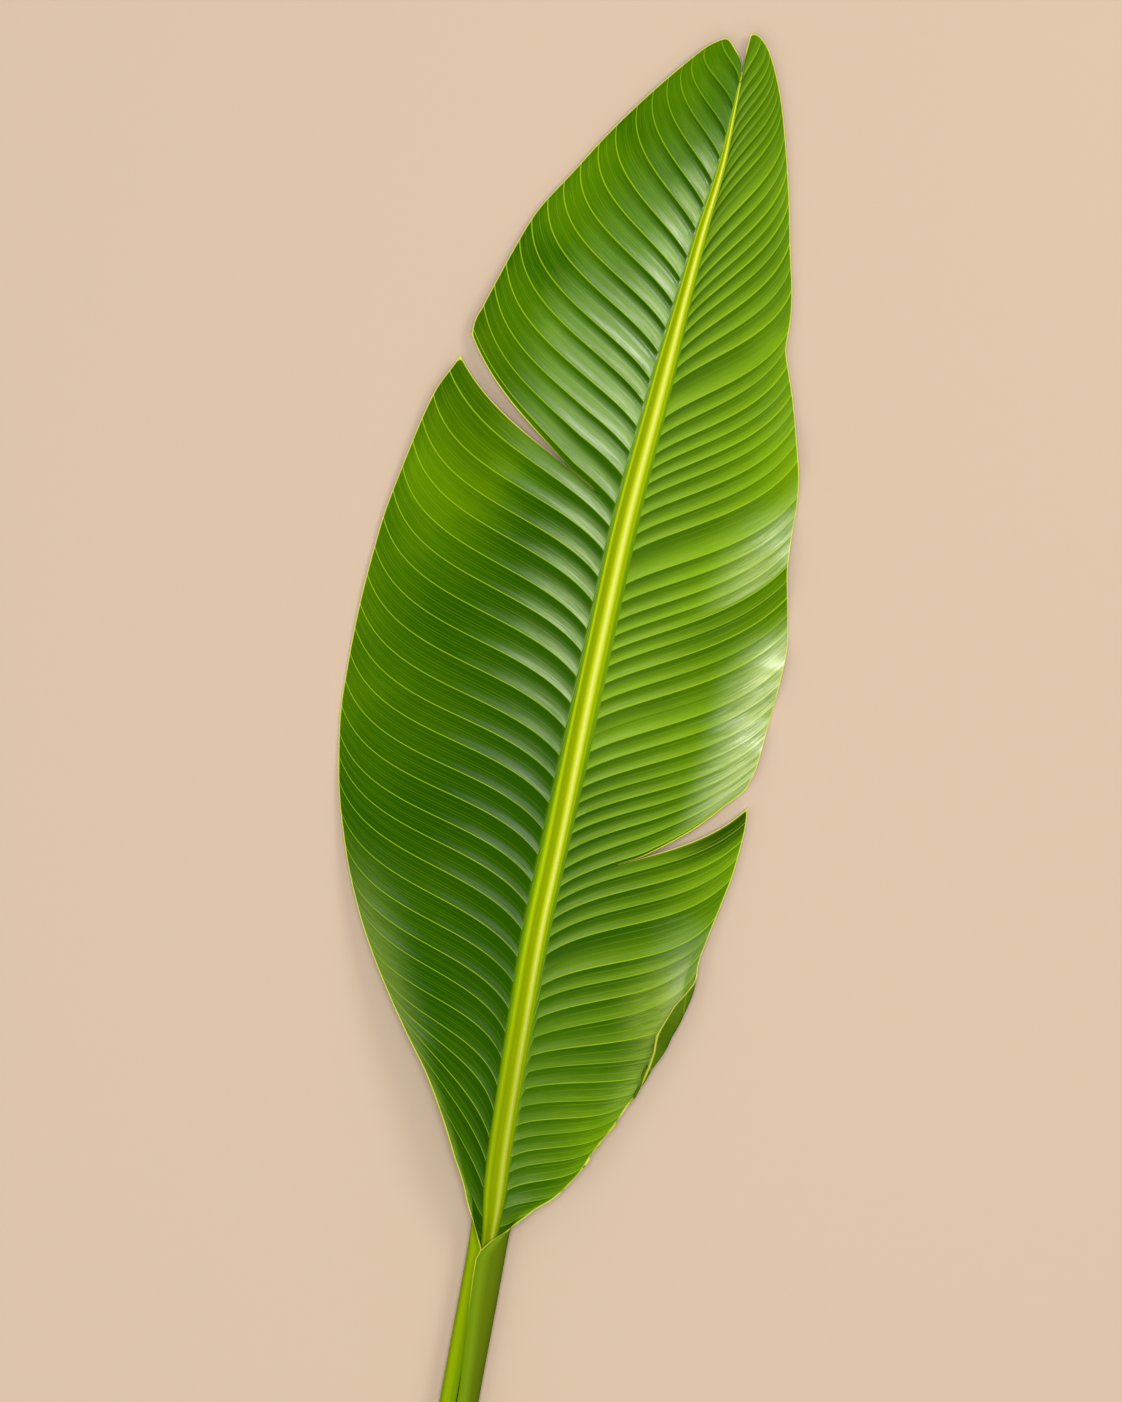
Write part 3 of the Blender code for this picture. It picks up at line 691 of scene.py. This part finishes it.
# Veins: a lime line at each, a weaker one halfway, and faint ones between
main_line = ((0.5 - (turn - 0.5).size()) * pitch_mm).step(0.36, 0.06)
second_line = ((turn - 0.5).size() * pitch_mm).step(0.34, 0.06) * (paired + left_side * 0.3)
fine_lines = ((turn * 5.0).fraction() - 0.5).size().step(0.40, 0.49)
line_strength = (share.step(0.02, 0.30) * 0.35 + 0.45) * (1.0 - tip * 0.5)
green = (main_line * line_strength * in_blade).mix(green, VEIN_LIME)
green = (second_line * line_strength * 0.7 * in_blade).mix(green, SECOND_VEIN_LIME)
fine_strength = (right_side * 0.12 + 0.18) * share.step(0.05, 0.4) * in_blade
green = (fine_lines * fine_strength).mix(green, FINE_VEIN_LIME)

# Channel of the midrib: lime edges, an olive floor partly darkened by painted shade, and a right wall made
# pale partly by painted light, all duller towards the base
floor_place = across + 0.5
floor_place = floor_place - floor_place * (1.0 - floor_place) * along.step(0.07, -0.03) * 0.66
channel_colour_and_shading = floor_place.bands([
    (0.00, (0.14, 0.26, 0.001)), (0.06, (0.36, 0.48, 0.003)), (0.16, (0.175, 0.245, 0.0005)),
    (0.36, (0.21, 0.28, 0.0005)), (0.50, (0.42, 0.49, 0.010)), (0.61, (0.60, 0.63, 0.140)),
    (0.72, (0.50, 0.57, 0.030)), (0.84, (0.26, 0.36, 0.001)), (0.95, (0.26, 0.38, 0.001)),
    (1.00, (0.14, 0.26, 0.001)),
])
channel_colour_and_shading = (along.step(-0.03, -0.15) * 0.40).mix(channel_colour_and_shading, (0.155, 0.215, 0.0008))
green = on_blade.mix(channel_colour_and_shading, green)
green = (edge.step(0.65, 0.15) * on_blade * 0.8 * off_stalk_end).mix(green, MARGIN_YELLOW)

# Under face: paler, with a bloom of wax, weaker veins and a light keel. The stalk's outside is the same face,
# yellow-green on its left and darker with painted shade on its right.
under_green = bloom.step(0.3, 0.7).mix((0.045, 0.095, 0.002), (0.075, 0.135, 0.005))
under_green = (main_line * 0.4 * in_blade).mix(under_green, (0.20, 0.29, 0.02))
under_green = (across.size().step(0.62, 0.48) * 0.6).mix(under_green, (0.22, 0.32, 0.02))
stalk_colour_and_shade = (across / 3.0 + 0.5).bands([
    (0.00, (0.110, 0.210, 0.001)), (0.12, (0.190, 0.290, 0.001)), (0.22, (0.260, 0.350, 0.003)),
    (0.45, (0.150, 0.230, 0.001)), (0.60, (0.120, 0.190, 0.004)), (0.78, (0.095, 0.145, 0.004)),
    (0.88, (0.092, 0.140, 0.003)), (0.94, (0.135, 0.215, 0.006)), (1.00, (0.105, 0.190, 0.001)),
])
under_green = on_stalk.mix(under_green, stalk_colour_and_shade)
colour = below_face.step(0.35, 0.65).mix(green, under_green)
colour = (edge.step(0.75, 0.15) * 0.7 * off_stalk_end).mix(colour, MARGIN_YELLOW)
nodes.links.new(colour.out, shader.inputs["Base Color"])

# A dull skin under a coat of wax, which shines beside the midrib on the left, on the waves and by the fold
rough = (fine - 0.5) * 0.14 + (clouds - 0.5) * 0.12 + below_face * 0.1 + 0.42
nodes.links.new(rough.clamp().out, shader.inputs["Roughness"])
left_wax = (strip - upper_lobe * 0.40).step(0.50, 0.04) * (share - upper_lobe * 0.25).step(0.52, 0.02)
left_wax = left_wax * past_lobe * (upper_lobe * 0.26 + 0.38) * (1.0 - tip * 0.6) * off_base
left_wax = left_wax * (strips.step(0.35, 0.65) * 0.9 + 0.45)
left_wax = left_wax + along.step(-0.03, -0.08) * along.step(-0.14, -0.10) * share.step(0.45, 0.8) * 0.2
fold_wax = along.near(-0.056, 0.024, 0.006) * share.step(0.50, 0.84)
right_wax = share.step(0.60, 0.04) * (1.0 - strip) * 0.16 + 0.01
right_wax = right_wax + (waves * 0.28 + fold_wax) * (1.0 - strip * 0.5)
wax = left_wax + right_side * (right_wax - left_wax)
wax = wax * ((clouds - 0.5) * 1.2 + (fine - 0.5) * 2.0 + (silk - 0.5) * 1.2 + 0.75)
wax = wax * (1.0 - below_face) * in_blade * on_blade
nodes.links.new(wax.clamp().out, shader.inputs["Coat Weight"])
shader.inputs["Coat Roughness"].default_value = 0.28
shader.inputs["Coat IOR"].default_value = 2.7
shader.inputs["Specular IOR Level"].default_value = 0.0
shader.inputs["Metallic"].default_value = 0.0

relief = (fine - 0.5) * 0.10 * in_blade + (silk - 0.5) * 0.05 + (grain - 0.5) * 0.012
relief = relief + (fine_lines * 0.02 - main_line * 0.06) * in_blade * on_blade
bump = skin.node("ShaderNodeBump", (), {"Strength": 1.0, "Distance": 0.001, "Height": relief})
nodes.links.new(bump.out, shader.inputs["Normal"])
leaf_mesh.materials.append(material)
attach(leaf, "root")
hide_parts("leaf")

# The floor
# A plain pale surface under the leaf, wide enough that no view finds its edge.
bm = bmesh.new()
bmesh.ops.create_grid(bm, x_segments=1, y_segments=1, size=6.0)
floor_mesh = bpy.data.meshes.new("floor")
bm.to_mesh(floor_mesh)
bm.free()
floor = bpy.data.objects.new("floor", floor_mesh)
bpy.context.scene.collection.objects.link(floor)
floor_material = bpy.data.materials.new("pale floor")
floor_material.use_nodes = True
floor_shader = floor_material.node_tree.nodes["Principled BSDF"]
floor_shader.inputs["Base Color"].default_value = (0.50, 0.388, 0.292, 1)
floor_shader.inputs["Roughness"].default_value = 0.85
floor_mesh.materials.append(floor_material)

# The light
# Soft panels low on the left, on the right, past the tip and past the right margin make the gloss on the
# strips. One overhead and four low ones all round, which make no gloss, lighten the shadows.
LEAN = math.radians(12.44)
MIDDLE_OF_LEAF = Vector((0.0, 0.05, 0.0))


def panel(name, tilt, turn_from_up, distance, size, power, gloss=True):
    """Soft square light aimed at the leaf: tilt from overhead, turned from the top of the picture."""
    light = bpy.data.lights.new(name, "AREA")
    light.shape = "SQUARE"
    light.size = size
    light.energy = power
    light.color = (1.0, 0.98, 0.94)
    lamp = bpy.data.objects.new(name, light)
    bpy.context.scene.collection.objects.link(lamp)
    tilt = math.radians(tilt)
    angle = LEAN + math.radians(turn_from_up)
    away = Vector((-math.sin(angle) * math.sin(tilt), math.cos(angle) * math.sin(tilt), math.cos(tilt)))
    lamp.location = MIDDLE_OF_LEAF + away * distance
    lamp.rotation_euler = away.to_track_quat("Z", "Y").to_euler()
    lamp.visible_glossy = gloss


panel("left panel", 33, 126, 2.2, 1.2, 11)
panel("right panel", 42, -152, 2.2, 0.9, 5)
panel("tip panel", 40, 14, 2.2, 1.0, 4)
panel("margin panel", 40, -57, 2.2, 0.9, 17)
panel("fill", 0, 0, 5.6, 1.5, 245, gloss=False)
for turn_from_up in (45, 135, 225, 315):
    panel("side panel", 62, turn_from_up, 2.4, 1.2, 3, gloss=False)
world = bpy.data.worlds.new("surround")
world.use_nodes = True
world.node_tree.nodes["Background"].inputs["Color"].default_value = (1.0, 0.97, 0.93, 1)
world.node_tree.nodes["Background"].inputs["Strength"].default_value = 0.06
bpy.context.scene.world = world

# The camera
# It looks straight down, turned so that the leaf leans to the right, from far enough off to flatten depth.
CAMERA_HEIGHT = 5.0
MEAN_LEAF_HEIGHT = 0.006
PICTURE_WIDTH = 0.561
camera_data = bpy.data.cameras.new("camera")
camera_data.sensor_fit = "HORIZONTAL"
camera_data.sensor_width = 36.0
camera_data.lens = camera_data.sensor_width * (CAMERA_HEIGHT - MEAN_LEAF_HEIGHT) / PICTURE_WIDTH
camera_data.clip_end = 100.0
camera = bpy.data.objects.new("camera", camera_data)
camera.location = (0.0019, 0.0548, CAMERA_HEIGHT)
camera.rotation_euler = (0.0, 0.0, LEAN)
bpy.context.scene.collection.objects.link(camera)
bpy.context.scene.camera = camera
bpy.context.scene.view_settings.view_transform = "Standard"
